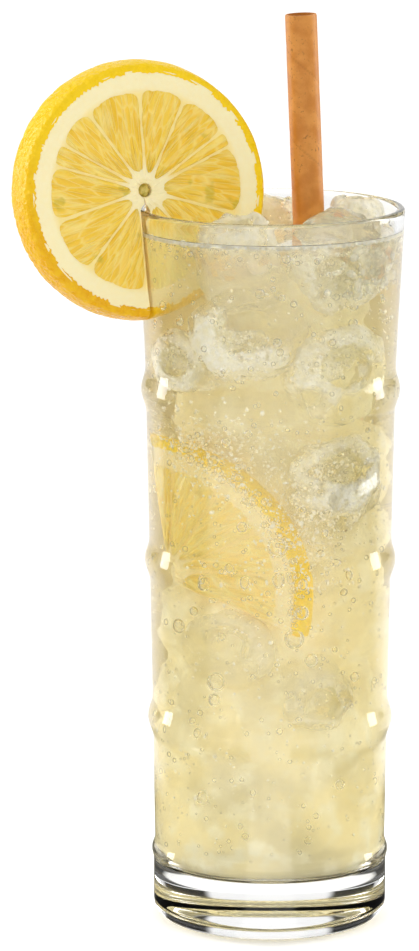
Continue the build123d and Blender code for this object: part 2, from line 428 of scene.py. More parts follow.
def mixed(material, mask, low, high):
    """A colour between low, where the mask is 0, and high, where it is 1.  Either may be a node's output."""
    node = material.node_tree.nodes.new("ShaderNodeMix")
    node.data_type = "RGBA"
    material.node_tree.links.new(mask, node.inputs[0])
    for place, colour in ((6, low), (7, high)):
        if isinstance(colour, tuple):
            node.inputs[place].default_value = (*colour, 1)
        else:
            material.node_tree.links.new(colour, node.inputs[place])
    return node.outputs[2]


def spread(material, value, low, high, to_low=0.0, to_high=1.0, shape="LINEAR"):
    """A value spread from between low and high to between to_low and to_high, without going past them."""
    node = material.node_tree.nodes.new("ShaderNodeMapRange")
    node.interpolation_type = shape
    material.node_tree.links.new(value, node.inputs["Value"])
    for label, level in (("From Min", low), ("From Max", high), ("To Min", to_low), ("To Max", to_high)):
        node.inputs[label].default_value = level
    return node.outputs["Result"]


def worked(material, operation, first, second=0.0):
    """What a Math node makes of two values, each a number or a node's output."""
    node = material.node_tree.nodes.new("ShaderNodeMath")
    node.operation = operation
    for socket, value in zip(node.inputs, (first, second)):
        if isinstance(value, float):
            socket.default_value = value
        else:
            material.node_tree.links.new(value, socket)
    return node.outputs[0]


def clear_material(name, colour, index, roughness=0.0, clearness=1.0):
    """A clear or cloudy refracting finish of one colour."""
    material, shader, output = new_material(name)
    shader.inputs["Base Color"].default_value = (*colour, 1)
    shader.inputs["Roughness"].default_value = roughness
    shader.inputs["IOR"].default_value = index
    shader.inputs["Transmission Weight"].default_value = clearness
    return material, shader, output


def glass_material():
    """Clear soda-lime glass, fire-polished."""
    material, _, _ = clear_material("clear_glass", (0.998, 1.0, 0.998), 1.5)
    return material


def drink_material():
    """Cloudy lemonade: a clear watery skin over a volume of fine pulp."""
    material, _, output = clear_material("cloudy_drink", (1.0, 1.0, 1.0), WATER_INDEX)
    nodes, links = material.node_tree.nodes, material.node_tree.links
    scatter = nodes.new("ShaderNodeVolumeScatter")
    scatter.inputs["Color"].default_value = (1.0, 0.97, 0.84, 1)
    scatter.inputs["Density"].default_value = HAZE_DENSITY
    scatter.inputs["Anisotropy"].default_value = 0.3
    absorb = nodes.new("ShaderNodeVolumeAbsorption")
    absorb.inputs["Color"].default_value = (0.98, 0.90, 0.48, 1)
    absorb.inputs["Density"].default_value = 12.0
    both = nodes.new("ShaderNodeAddShader")
    links.new(scatter.outputs[0], both.inputs[0])
    links.new(absorb.outputs[0], both.inputs[1])
    links.new(both.outputs[0], output.inputs["Volume"])
    return material


def cloud_material():
    """The depth of the drink, where the pulp hides all: pale yellow with greyer and creamier clouds."""
    material, shader, _ = new_material("drink_cloud")
    broad = placed_group(material, MOTTLE, Scale=55.0, Detail=3.0, Low=0.42, High=0.66)
    fine = placed_group(material, MOTTLE, Scale=160.0, Detail=5.0, Low=0.45, High=0.70)
    cloud = mixed(material, broad, (0.955, 0.855, 0.52), (0.78, 0.71, 0.45))
    cloud = mixed(material, fine, cloud, (0.985, 0.94, 0.70))
    links = material.node_tree.links
    links.new(cloud, shader.inputs["Base Color"])
    shader.inputs["Roughness"].default_value = 1.0
    shader.inputs["Specular IOR Level"].default_value = 0.0
    return material


def paper_material():
    """Waxed brown paper: mottled fibre, a darker seam where the strip overlaps, and a soft sheen."""
    material, shader, _ = new_material("brown_paper")
    links = material.node_tree.links
    patches = placed_group(material, MOTTLE, Scale=260.0, Detail=6.0, Low=0.35, High=0.68)
    paper = mixed(material, patches, (0.56, 0.205, 0.030), (0.68, 0.285, 0.055))
    flecks = placed_group(material, MOTTLE, Scale=1500.0, Detail=2.0, Low=0.60, High=0.72)
    paper = mixed(material, worked(material, "MULTIPLY", flecks, patches), paper, (0.36, 0.14, 0.03))
    seam = spread(material, mark_output(material, "seam"), 0.2, 1.0, 0, 0.35)
    paper = mixed(material, seam, paper, (0.33, 0.12, 0.02))
    links.new(paper, shader.inputs["Base Color"])
    links.new(spread(material, patches, 0, 1, 0.34, 0.48), shader.inputs["Roughness"])
    shader.inputs["Specular IOR Level"].default_value = 0.35
    fibre = placed_group(
        material, RELIEF, Cell_Scale=700.0, Grain_Scale=2600.0, Grain_Share=0.7, Depth=0.00006
    )
    links.new(fibre, shader.inputs["Normal"])
    return material


def peel_material(name, deep, bright, pale):
    """Waxy lemon zest: oil cells as fine relief, deeper gold where the yellowness mark is low, and paler
    patches. On the wheel that deeper gold is partly painted shade on its lower side and partly the lemon's
    own colour.
    """
    material, shader, _ = new_material(name)
    links = material.node_tree.links
    patches = placed_group(material, MOTTLE, Scale=420.0, Detail=4.0, Low=0.36, High=0.66)
    # deep to bright by the yellowness mark: on the wheel this is painted shade on the lower side mixed with
    # the lemon's own colour
    skin = mixed(material, mark_output(material, "yellowness"), deep, bright)
    paler = mixed(material, spread(material, patches, 0, 1, 0, 0.30), skin, pale)
    links.new(paler, shader.inputs["Base Color"])
    links.new(spread(material, patches, 0, 1, 0.26, 0.40), shader.inputs["Roughness"])
    shader.inputs["Specular IOR Level"].default_value = 0.25
    pores = placed_group(
        material, RELIEF, Cell_Scale=820.0, Grain_Scale=3000.0, Grain_Share=0.2, Depth=0.00035
    )
    links.new(pores, shader.inputs["Normal"])
    return material


def pith_material(name, white, membrane):
    """Spongy white pith, and the thin yellower skins between the segments."""
    material, shader, _ = new_material(name)
    links = material.node_tree.links
    grain = placed_group(material, MOTTLE, Scale=900.0, Detail=4.0, Low=0.30, High=0.70)
    whiteness = mark_output(material, "whiteness")
    pith = mixed(material, whiteness, membrane, white)
    pith = mixed(material, spread(material, grain, 0, 1, 0, 0.18), pith, membrane)
    links.new(pith, shader.inputs["Base Color"])
    shader.inputs["Roughness"].default_value = 0.6
    shader.inputs["Specular IOR Level"].default_value = 0.2
    shader.inputs["Subsurface Weight"].default_value = 0.15
    shader.inputs["Subsurface Radius"].default_value = (1.0, 0.8, 0.4)
    shader.inputs["Subsurface Scale"].default_value = 1.0 * MM
    sponge = placed_group(
        material, RELIEF, Cell_Scale=1300.0, Grain_Scale=3500.0, Grain_Share=0.5, Depth=0.00010
    )
    links.new(sponge, shader.inputs["Normal"])
    return material


def flesh_material(name, deep, middle, light):
    """Wet lemon flesh: juice sacs as long cells along each segment, with pale walls and a few olive deeps."""
    material, shader, _ = new_material(name)
    nodes, links = material.node_tree.nodes, material.node_tree.links
    grain = mark_output(material, "grain", "Vector")
    sacs = nodes.new("ShaderNodeTexVoronoi")
    sacs.inputs["Scale"].default_value = 1.0
    walls = nodes.new("ShaderNodeTexVoronoi")
    walls.feature = "DISTANCE_TO_EDGE"
    walls.inputs["Scale"].default_value = 1.0
    streaks = nodes.new("ShaderNodeTexNoise")
    streaks.inputs["Scale"].default_value = 0.8
    streaks.inputs["Detail"].default_value = 5.0
    for node in (sacs, walls, streaks):
        links.new(grain, node.inputs["Vector"])
    sac_shade = nodes.new("ShaderNodeSeparateColor")
    links.new(sacs.outputs["Color"], sac_shade.inputs[0])
    flesh = mixed(material, spread(material, sac_shade.outputs[0], 0.1, 0.9, 0, 0.75), deep, middle)
    flesh = mixed(material, spread(material, streaks.outputs["Fac"], 0.48, 0.72, 0, 0.75), flesh, light)
    flesh = mixed(material, spread(material, walls.outputs["Distance"], 0.0, 0.10, 0.55, 0), flesh, light)
    glassy = placed_group(material, MOTTLE, Scale=190.0, Detail=2.0, Low=0.62, High=0.74)
    flesh = mixed(material, spread(material, glassy, 0, 1, 0, 0.6), flesh, (0.60, 0.46, 0.045))
    soaked = mark_output(material, "soaked")
    flesh = mixed(material, spread(material, soaked, 0, 1, 0, 0.8), flesh, (1.0, 0.90, 0.43))
    links.new(flesh, shader.inputs["Base Color"])
    shader.inputs["Roughness"].default_value = 0.25
    shader.inputs["Specular IOR Level"].default_value = 0.3
    shader.inputs["Subsurface Weight"].default_value = 0.2
    shader.inputs["Subsurface Radius"].default_value = (1.0, 0.7, 0.15)
    shader.inputs["Subsurface Scale"].default_value = 1.5 * MM
    bump = nodes.new("ShaderNodeBump")
    bump.inputs["Distance"].default_value = 0.25 * MM
    links.new(spread(material, walls.outputs["Distance"], 0.0, 0.35), bump.inputs["Height"])
    links.new(bump.outputs["Normal"], shader.inputs["Normal"])
    return material


def ice_material(name, index, clearness):
    """Melting ice: clear, faintly wavy, and dulled here and there."""
    material, shader, _ = clear_material(name, (0.985, 0.982, 0.935), index, 0.05, clearness)
    links = material.node_tree.links
    dull = placed_group(material, MOTTLE, Scale=220.0, Detail=3.0, Low=0.45, High=0.75)
    links.new(spread(material, dull, 0, 1, 0.02, 0.30), shader.inputs["Roughness"])
    return material


def frost_material():
    """A broken skin of frost and trapped air: creamy white where it lies, nothing between."""
    material, shader, _ = new_material("ice_frost")
    links = material.node_tree.links
    broken = placed_group(material, MOTTLE, Scale=240.0, Detail=5.0, Low=0.26, High=0.52)
    cover = worked(material, "MULTIPLY", mark_output(material, "frost"), broken)
    links.new(spread(material, cover, 0.0, 0.8), shader.inputs["Alpha"])
    tone = placed_group(material, MOTTLE, Scale=600.0, Detail=3.0, Low=0.35, High=0.65)
    links.new(mixed(material, tone, (0.94, 0.90, 0.70), (0.99, 0.975, 0.87)), shader.inputs["Base Color"])
    shader.inputs["Roughness"].default_value = 0.45
    crust = placed_group(
        material, RELIEF, Cell_Scale=900.0, Grain_Scale=2400.0, Grain_Share=0.4, Depth=0.0006
    )
    links.new(crust, shader.inputs["Normal"])
    return material


def plain_material(name, first, second, scale, roughness):
    """A soft mottled finish between two colours."""
    material, shader, _ = new_material(name)
    patches = placed_group(material, MOTTLE, Scale=scale, Detail=3.0, Low=0.35, High=0.65)
    material.node_tree.links.new(mixed(material, patches, first, second), shader.inputs["Base Color"])
    shader.inputs["Roughness"].default_value = roughness
    return material


# ======================================================================================
# Glass and drink
# ======================================================================================

HAZE_DENSITY = 38.0

glass_points, glass_quads = turned_surface(*glass_profile(), 224)
piece_from_arrays("glass_body", glass_points, glass_quads, glass_material(), "clear_glass", ["glass"])

drink_points, drink_quads = turned_surface(*drink_profile(), 256)
piece_from_arrays("drink_body", drink_points, drink_quads, drink_material(), "cloudy_drink", ["lemonade"])

# The thick of the drink: its radius by height, wide below the ice and narrow in it.
CLOUD_LEVELS = (0.0, 0.022, 0.034, 0.052, 0.066, 0.112, 0.128, 0.2)
CLOUD_RADII = np.array([25.0, 25.0, 21.5, 20.5, 15.5, 15.5, 11.5, 11.5]) * MM
CLOUD_ABOVE_FLOOR = 0.3 * MM
CLOUD_FROM_WALL = 0.8 * MM
CLOUD_BELOW_LEVEL = 6.0 * MM
CLOUD_UNEVENNESS = 1.3 * MM
CLOUD_BULGE = 6.0 * MM
CLOUD_BULGE_ANGLE = math.radians(31.0)
# Shoulders of the column, above and below the sunk slice: height, half height, bearing and swell.
CLOUD_SHOULDERS = (
    (128.0 * MM, 7.5 * MM, math.radians(200.0), 7.0 * MM),
    (73.0 * MM, 9.0 * MM, math.radians(193.0), 6.0 * MM),
)


def drink_cloud():
    """The opaque middle of the drink: an uneven column that fills the floor's rounded corner at its foot.

    At height h above the floor it keeps within c + sqrt(q^2 - (q - h)^2) of the corner's round q about the
    radius c.  It swells by two ripples, towards the straw and at its shoulders, but not near the floor, and
    ends round on top.
    """
    heights = np.linspace(FLOOR_LEVEL + CLOUD_ABOVE_FLOOR, DRINK_LEVEL - CLOUD_BELOW_LEVEL, 160)
    short_of_round = np.clip(FLOOR_ROUNDING - (heights - FLOOR_LEVEL), 0, None)
    corner = inner_radius(FLOOR_LEVEL + FLOOR_ROUNDING) - FLOOR_ROUNDING - CLOUD_FROM_WALL
    corner = corner + np.sqrt(FLOOR_ROUNDING**2 - short_of_round**2)
    rounding = np.sqrt(1 - (1 - np.clip((heights[-1] - heights) / (5 * MM), 0, 1)) ** 2)
    points, quads = turned_surface(
        np.minimum(np.interp(heights, CLOUD_LEVELS, CLOUD_RADII), corner) * rounding, heights, 128
    )
    swell = CLOUD_UNEVENNESS * ripple(points, 16 * MM, 5) + 0.5 * MM * ripple(points, 5 * MM, 6)
    facing = np.cos(np.arctan2(points[:, 1], points[:, 0]) - CLOUD_BULGE_ANGLE)
    swell += CLOUD_BULGE * np.clip(facing, 0, 1) ** 2 * (points[:, 2] < DRINK_LEVEL - 14 * MM)
    for height, half, bearing, most in CLOUD_SHOULDERS:
        facing = np.cos(np.arctan2(points[:, 1], points[:, 0]) - bearing)
        swell += most * np.clip(facing, 0, 1) ** 2 * np.exp(-(((points[:, 2] - height) / half) ** 2))
    swell *= smooth_step(points[:, 2], FLOOR_LEVEL + 4 * MM, FLOOR_LEVEL + 20 * MM)
    share = np.clip(np.hypot(points[:, 0], points[:, 1]) / (8 * MM), 0, 1) * swell
    away = points[:, :2] / np.maximum(np.hypot(points[:, 0], points[:, 1]), 1e-9)[:, None]
    points[:, :2] += away * share[:, None]
    return points, quads


CLOUD = cloud_material()
piece_from_arrays("drink_cloud", *drink_cloud(), CLOUD, "cloudy_drink")

# The pulp that hangs along the back of the glass, where the sides of the drink look to.
BACK_CLOUD_SPAN = math.radians(100.0)
BACK_CLOUD_THICKNESS = 2.2 * MM
BACK_CLOUD_ABOVE_FLOOR = 3.0 * MM
BACK_CLOUD_BELOW_LEVEL = 5.0 * MM


def back_cloud():
    """A curved layer of pulp just inside the wall at the back, thinner towards its wavy ends."""
    turn = np.linspace(-0.5, 0.5, 60)[:, None]
    bottom, top = FLOOR_LEVEL + BACK_CLOUD_ABOVE_FLOOR, DRINK_LEVEL - BACK_CLOUD_BELOW_LEVEL
    height = np.linspace(bottom, top, 150)[None, :]
    wave = 0.14 * ripple(stacked(0.0, np.sign(turn), height), 24 * MM, 8) * (2 * np.abs(turn)) ** 2
    angle = np.pi / 2 + BACK_CLOUD_SPAN * turn * (1 + wave)
    outer = inner_radius(height) - CLOUD_FROM_WALL + 0 * turn
    rough = about_axis(outer, angle, height)
    thickness = BACK_CLOUD_THICKNESS * (1 + 0.35 * ripple(rough, 12 * MM, 7)) * (1.05 - (2 * turn) ** 6)
    return slab(rough, about_axis(outer - thickness, angle, height))


piece_from_arrays("drink_cloud_back", *back_cloud(), CLOUD, "cloudy_drink")


# ======================================================================================
# Lemon slices
# ======================================================================================

PEEL_THICKNESS = 1.9 * MM
PEEL_SWELL = 0.4 * MM
PITH_INTO_PEEL = 0.6 * MM
FLESH_SHARE = 0.815
CORE_HOLE_RADIUS = 1.7 * MM
CORE_RADIUS = 3.4 * MM
MEMBRANE = 0.42 * MM
SKIN_DEPTH = 0.30 * MM
SLIT_TAPER = 2.2 * MM
# Where the skins between the wheel's segments lie, in degrees from level right, starting after the slit.
WHEEL_SKINS = (-50, -16.6, 24.3, 33.4, 63.6, 92, 126.3, 150, 162.9, 195.7, 229.6)


def disc_place(centre, yaw, lean):
    """A slice's centre and unit vectors: level right along its face, up its face, and out of the face."""
    right = np.array([math.cos(yaw), math.sin(yaw), 0.0])
    back = np.array([-math.sin(yaw), math.cos(yaw), 0.0])
    out = -back * math.cos(lean) + np.array([0, 0, math.sin(lean)])
    return np.asarray(centre, float), right, np.cross(out, right), out


def wheel_place():
    """The place of the rim's lemon wheel: its core over the middle of the glass wall."""
    right = np.array([math.cos(WHEEL_YAW), math.sin(WHEEL_YAW), 0.0])
    back = np.array([-math.sin(WHEEL_YAW), math.cos(WHEEL_YAW), 0.0])
    centre = right * (WHEEL_CORE_INSIDE_WALL - (RIM_RADIUS - WALL / 2)) + back * WHEEL_CENTRE_BEHIND
    return disc_place(centre + np.array([0, 0, GLASS_TOP + WHEEL_CENTRE_ABOVE_RIM]), WHEEL_YAW, WHEEL_LEAN)


def on_disc(place, radius, angle, depth):
    """Points on a slice: centre + radius (right cos angle + up sin angle) + out depth."""
    centre, right, up, out = place
    across, along, depth = np.broadcast_arrays(radius * np.cos(angle), radius * np.sin(angle), depth)
    return centre + across[..., None] * right + along[..., None] * up + depth[..., None] * out


def wall_angle(place, radius, depth, inset):
    """The angle, near straight down, at which a circle on the slice meets the wall's surface at this inset.

    The point lies on the horizontal line through the circle's point along right, where that line
    crosses the wall's circle; the height that sets the wall's radius is found by repeating three times.
    """
    right = place[1]
    radius, depth = np.broadcast_arrays(radius, depth)
    angle = np.full(radius.shape, -np.pi / 2)
    for _ in range(3):
        spot = on_disc(place, radius, angle, depth)
        foot = spot - (radius * np.cos(angle))[..., None] * right
        near = foot[..., :2] @ right[:2]
        wall = side_radius(np.minimum(spot[..., 2], GLASS_TOP), inset, 0)
        edge = -near - np.sqrt(wall**2 - (foot[..., :2] ** 2).sum(-1) + near**2)
        angle = -np.pi / 2 + np.arcsin(np.clip(edge / radius, -0.9, 0.9))
    return angle


def slit_limits(place, radius, depth):
    """Angles of the slit's right and left sides, a turn apart less the slit; above the lip it closes up."""
    outer = wall_angle(place, radius, depth, -SLIT_CLEARANCE)
    inner = wall_angle(place, radius, depth, WALL + SLIT_CLEARANCE)
    height = on_disc(place, radius, (outer + inner) / 2, depth)[..., 2]
    half = (inner - outer) / 2 * (1 - 0.96 * smooth_step(height, GLASS_TOP, GLASS_TOP + SLIT_TAPER))
    return (outer + inner) / 2 + half, (outer + inner) / 2 - half + 2 * np.pi


def sector_limits(low, high):
    """A function like slit_limits for a slice cut along two straight radii, given in degrees."""

    def limits(place, radius, depth):
        flat = np.zeros(np.broadcast(radius, depth).shape)
        return flat + math.radians(low), flat + math.radians(high)

    return limits


def swept(place, limits, share, radius, depth):
    """Points at a share of the way round between a slice's two ends, at each radius and depth."""
    low, high = limits(place, radius, depth)
    return on_disc(place, radius, low + (high - low) * share, depth)


def slice_pith(place, limits, radius, thickness, rounds):
    """The pith and skins: a disc from the core's hole to the peel, lower under the flesh, dished inside."""
    share = np.linspace(0, 1, rounds)[:, None]
    across = np.linspace(0, 1, 34)[None, :]
    radii = CORE_HOLE_RADIUS + (radius - CORE_HOLE_RADIUS) * across + 0 * share
    dish = -1.2 * MM * np.exp(-(radii - CORE_HOLE_RADIUS) / (0.9 * MM))
    under_flesh = smooth_step(radii, CORE_RADIUS, CORE_RADIUS * 1.3)
    under_flesh = under_flesh - smooth_step(radii, radius * 0.835, radius * 0.86)
    dish = dish - SKIN_DEPTH * under_flesh
    bumps = 0.07 * MM * ripple(stacked(radii, share * 0.15, 0.0), 4 * MM, 11)
    front = swept(place, limits, share, radii, dish + bumps)
    back = swept(place, limits, share, radii, -thickness - dish - bumps)
    core_white = 1 - smooth_step(radii, 4.5 * MM, 9.0 * MM)
    white = np.maximum(smooth_step(radii, radius * 0.80, radius * 0.86), core_white)
    return slab(front, back), np.concatenate([white.ravel(), white.ravel()])


def slice_peel(place, limits, face_radius, back_radius, thickness, rounds):
    """The zest: a band that bulges from the face to the back, dimpled by its oil cells.

    Its radius is the straight taper, plus swell 4 j (1 - j) at the share j of its depth, less a rounding
    by the tenth power at both edges and the dimples.  Inside it follows the pith with a wavy edge.
    """
    share = np.linspace(0, 1, rounds)[:, None]
    j = np.linspace(0, 1, 15)[None, :]
    radii = face_radius + (back_radius - face_radius) * j + PEEL_SWELL * 4 * j * (1 - j) + 0 * share
    radii = radii - 0.5 * MM * np.abs(2 * j - 1) ** 10
    rough = swept(place, limits, share, radii, -thickness * j)
    dimples = smooth_step(ripple(rough, 1.5 * MM, 21, 30), 0.1, 1.3)
    radii = radii - 0.16 * MM * dimples + 0.05 * MM * ripple(rough, 7 * MM, 22)
    outer = swept(place, limits, share, radii, -thickness * j)
    wave = ripple(stacked(share * 0.19, 0.0, 0.0), 1.1 * MM, 23)
    inner_radii = face_radius - PEEL_THICKNESS + 0.20 * MM * wave + 0 * j
    inner = swept(place, limits, share, inner_radii, 0.06 * MM - (thickness + 0.12 * MM) * j)
    return slab(outer, inner)


def slice_segment(place, low, high, radius, thickness, seed):
    """One segment of flesh: two faces crowned by the eighth power across, rounded at the outer corners.

    low and high give its sides' angles at a radius and depth.  Its sides lie half a skin's thickness in.
    The relief runs along the sacs, and the marks give each point's place across and along them.
    """
    s = np.linspace(0, 1, 44)[:, None]
    t = np.linspace(0, 1, 50)[None, :]
    at_rim = np.full((1, 1), radius)
    width = float(((high(at_rim, 0 * at_rim) - low(at_rim, 0 * at_rim)) * radius).item())
    side = np.abs(2 * s - 1)
    rng = np.random.default_rng(seed)
    start = max(CORE_RADIUS * rng.uniform(0.9, 1.4), 2.4 * MEMBRANE * radius / width)
    corner = min(3.4 * MM, 0.34 * width)
    reach = radius * rng.uniform(0.985, 1.01) - corner * (1 - (1 - side**3.2) ** (1 / 3.2))
    radii = start + 0.5 * MM * side**2 + (reach - start - 0.5 * MM * side**2) * t
    points = []
    sacs = stacked(s * width / (1.5 * MM) * (0.4 + 0.6 * t), radii / (6.5 * MM), float(seed))
    crown = 0.55 * MM * (1 - side**8) * (1 - (2 * t - 1) ** 12) - 0.40 * MM
    relief = crown - 0.10 * MM * np.abs(ripple(sacs, 1.6, seed, 16)) * (1 - side**4)
    for depth in (relief, -thickness - relief):
        gap = MEMBRANE / 2 * (1 + 2.2 * np.exp(-(radii - start) / (2.2 * MM))) / radii
        first, last = low(radii, depth) + gap, high(radii, depth) - gap
        points.append(on_disc(place, radii, first + (last - first) * s, depth))
    marks = np.concatenate([sacs.reshape(-1, 3)] * 2)
    return slab(*points), marks


def slice_flesh(place, limits, skins, radius, thickness, seed):
    """All the segments of a slice, between its ends and the skins given in degrees."""

    def end(which):
        return lambda radii, depth: limits(place, radii, depth)[which]

    def skin(degrees):
        return lambda radii, depth: np.zeros(np.broadcast(radii, depth).shape) + math.radians(degrees)

    sides = [end(0), *(skin(degrees) for degrees in skins), end(1)]
    made = [
        slice_segment(place, low, high, radius, thickness, seed + number)
        for number, (low, high) in enumerate(zip(sides, sides[1:]))
    ]
    return joined([shape for shape, _ in made]), np.concatenate([marks for _, marks in made])


def core_plug(place, thickness):
    """The pulp deep in the core's hollow: a flattened ball a little below each face, whose dark olive colour
    is partly the pulp's own and partly painted shade of the hollow.
    """
    points, quads = ball(14, 24)
    centre, right, up, out = place
    sizes = np.array([CORE_HOLE_RADIUS * 1.25, CORE_HOLE_RADIUS * 1.25, thickness / 2 - 1.1 * MM])
    local = points * sizes * (1 + 0.08 * ripple(points, 0.9, 31)[:, None])
    spot = centre - out * thickness / 2
    return spot + local[:, :1] * right + local[:, 1:2] * up + local[:, 2:] * out, quads


def soaked_share(points):
    """How much the drink has paled each point: 0 outside the glass and above the level, 1 in the drink."""
    inside = np.hypot(points[:, 0], points[:, 1]) < inner_radius(points[:, 2]) + WALL / 2
    return inside * smooth_step(DRINK_LEVEL - points[:, 2], -4 * MM, 2 * MM)


PEEL = peel_material("lemon_peel", (0.80, 0.40, 0.002), (0.96, 0.63, 0.005), (0.985, 0.70, 0.012))
PITH = pith_material("lemon_pith", (0.985, 0.87, 0.53), (0.975, 0.77, 0.30))
FLESH = flesh_material("lemon_flesh", (0.90, 0.555, 0.040), (0.955, 0.655, 0.085), (0.985, 0.79, 0.27))
# Painted shade: the dark olive of the core stands for the shade deep in the core's hollow.
CORE_WITH_PAINTED_SHADE = plain_material("lemon_core_painted_shade", (0.42, 0.34, 0.04), (0.75, 0.60, 0.16), 900.0, 0.35)

wheel = wheel_place()
wheel_pith_radius = WHEEL_FACE_RADIUS - PEEL_THICKNESS + PITH_INTO_PEEL
(pith_points, pith_quads), pith_white = slice_pith(
    wheel, slit_limits, wheel_pith_radius, WHEEL_THICKNESS, 361
)
piece_from_arrays(
    "wheel_pith", pith_points, pith_quads, PITH, "lemon", marks={"whiteness": pith_white}, crease=0.6
)
peel_points, peel_quads = slice_peel(
    wheel, slit_limits, WHEEL_FACE_RADIUS, WHEEL_BACK_RADIUS, WHEEL_THICKNESS, 901
)
# Painted shade: the wheel's peel goes from deeper gold on its lower left to bright yellow on its upper right
# along this way, partly the lemon's own colour and partly painted shade; where it dips into the drink it is
# set bright.
SHADE_TO_LIGHT_WAY = np.array([0.45, 0.0, 0.9])
yellowness = smooth_step((peel_points - wheel[0]) @ SHADE_TO_LIGHT_WAY / WHEEL_FACE_RADIUS, -1.0, 0.35)
yellowness = np.maximum(yellowness, soaked_share(peel_points))
piece_from_arrays(
    "wheel_peel", peel_points, peel_quads, PEEL, "lemon", ["lemon_wheel"], {"yellowness": yellowness}, 0.8
)
(flesh_points, flesh_quads), flesh_grain = slice_flesh(
    wheel, slit_limits, WHEEL_SKINS, WHEEL_FACE_RADIUS * FLESH_SHARE, WHEEL_THICKNESS, 40
)
flesh_marks = {"grain": flesh_grain, "soaked": soaked_share(flesh_points)}
piece_from_arrays(
    "wheel_flesh", flesh_points, flesh_quads, FLESH, "lemon", marks=flesh_marks, crease=0.9
)
piece_from_arrays("wheel_core", *core_plug(wheel, WHEEL_THICKNESS), CORE_WITH_PAINTED_SHADE, "lemon")

# ---- the cut slice sunk in the drink: part of a wheel, standing near the front of the glass on the left ----
SUNK_RADIUS = 32.3 * MM
SUNK_THICKNESS = 5.0 * MM
SUNK_CENTRE = (-22.4 * MM, -11.2 * MM, 88.3 * MM)
SUNK_YAW = math.radians(-24.0)
SUNK_LEAN = math.radians(2.0)
SUNK_CUTS = (-19.0, 98.0)
SUNK_SKINS = (6, 32, 59, 84)
SUNK_SHEAR = 0.07  # off an oval lemon: shorter along one diagonal of its face
sunk = disc_place(SUNK_CENTRE, SUNK_YAW, SUNK_LEAN)
sunk = (sunk[0], sunk[1] - SUNK_SHEAR * sunk[2], sunk[2] - SUNK_SHEAR * sunk[1], sunk[3])
sunk_limits = sector_limits(*SUNK_CUTS)
(pith_points, pith_quads), pith_white = slice_pith(
    sunk, sunk_limits, SUNK_RADIUS - PEEL_THICKNESS + PITH_INTO_PEEL, SUNK_THICKNESS, 101
)
piece_from_arrays(
    "sunk_pith", pith_points, pith_quads, PITH, "lemon", marks={"whiteness": pith_white}, crease=0.6
)
peel_points, peel_quads = slice_peel(
    sunk, sunk_limits, SUNK_RADIUS, SUNK_RADIUS + 0.8 * MM, SUNK_THICKNESS, 261
)
# The sunk slice's peel goes deeper gold towards the bottom.
yellowness = smooth_step(peel_points[:, 2], 60 * MM, 115 * MM)
SUNK_PEEL = peel_material("sunk_peel", (0.98, 0.66, 0.004), (0.995, 0.74, 0.006), (0.995, 0.80, 0.02))
piece_from_arrays(
    "sunk_peel", peel_points, peel_quads, SUNK_PEEL, "lemon", marks={"yellowness": yellowness}, crease=0.8
)
(flesh_points, flesh_quads), flesh_grain = slice_flesh(
    sunk, sunk_limits, SUNK_SKINS, SUNK_RADIUS * FLESH_SHARE, SUNK_THICKNESS, 60
)
SUNK_FLESH = flesh_material("sunk_flesh", (0.95, 0.70, 0.14), (0.98, 0.79, 0.25), (0.99, 0.88, 0.46))
piece_from_arrays(
    "sunk_flesh", flesh_points, flesh_quads, SUNK_FLESH, "lemon", marks={"grain": flesh_grain}, crease=0.9
)


# ======================================================================================
# The straw
# ======================================================================================

STRAW_RADIUS = 3.85 * MM
STRAW_WALL = 0.45 * MM
SEAM_PITCH = 21.0 * MM
SEAM_WIDTH = 0.35 * MM


def straw_ends(box, radius):
    """The two ends of a leaning rod's axis from the corners of its box.

    A round end reaches radius sqrt(1 - a^2) past its axis point along a direction in which the axis has the
    share a; the rod leans towards -X and -Y as it rises.  Repeating three times settles the shares.
    """
    low, high = (np.array(corner) for corner in box)
    share = np.zeros(3)
    share[2] = 1.0
    for _ in range(3):
        reach = radius * np.sqrt(1 - share**2)
        foot = np.array([high[0] - reach[0], high[1] - reach[1], low[2] + reach[2]])
        tip = np.array([low[0] + reach[0], low[1] + reach[1], high[2] - reach[2]])
        share = (tip - foot) / np.linalg.norm(tip - foot)
    return foot, tip


def straw_tube():
    """A wound paper tube: a closed outline of the wall carried along the axis, with a small step at the seam.

    The seam's mark is exp(-(d / width)^2), where d is the distance along the axis to the nearest turn of a
    helix of the given pitch.
    """
    foot, tip = straw_ends(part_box("straw"), STRAW_RADIUS)
    length = np.linalg.norm(tip - foot)
    across, beside, along = frame_along(tip - foot)
    run = np.linspace(0, 1, 420)
    rounding = 0.12 * MM
    outer = STRAW_RADIUS - rounding * (np.exp(-run * 900) + np.exp(-(1 - run) * 900))
    inner = np.full(60, STRAW_RADIUS - STRAW_WALL)
    radii = np.concatenate([outer, inner])[:, None]
    heights = np.concatenate([run * length, np.linspace(length, 0, 60)])[:, None]
    angle = np.linspace(0, 2 * np.pi, 96, endpoint=False)[None, :]
    turn = (heights / SEAM_PITCH + angle / (2 * np.pi)) % 1
    away = np.minimum(turn, 1 - turn) * SEAM_PITCH
    is_outer = (np.arange(len(radii)) < len(run))[:, None]
    seam = np.exp(-((away / SEAM_WIDTH) ** 2)) * is_outer
    step = 0.05 * MM * smooth_step(turn, 0.0, 0.03) * (1 - smooth_step(turn, 0.85, 1.0)) * is_outer
    reach = radii - 0.05 * MM * is_outer + step
    spots = foot + (reach * np.cos(angle))[..., None] * across + (reach * np.sin(angle))[..., None] * beside
    spots = spots + (heights + 0 * angle)[..., None] * along
    return (spots.reshape(-1, 3), grid_quads(*spots.shape[:2], True, True)), seam.ravel()


(straw_points, straw_quads), straw_seam = straw_tube()
piece_from_arrays(
    "straw_tube", straw_points, straw_quads, paper_material(), "brown_paper", ["straw"], {"seam": straw_seam},
    0.8,
)


# ======================================================================================
# Ice
# ======================================================================================


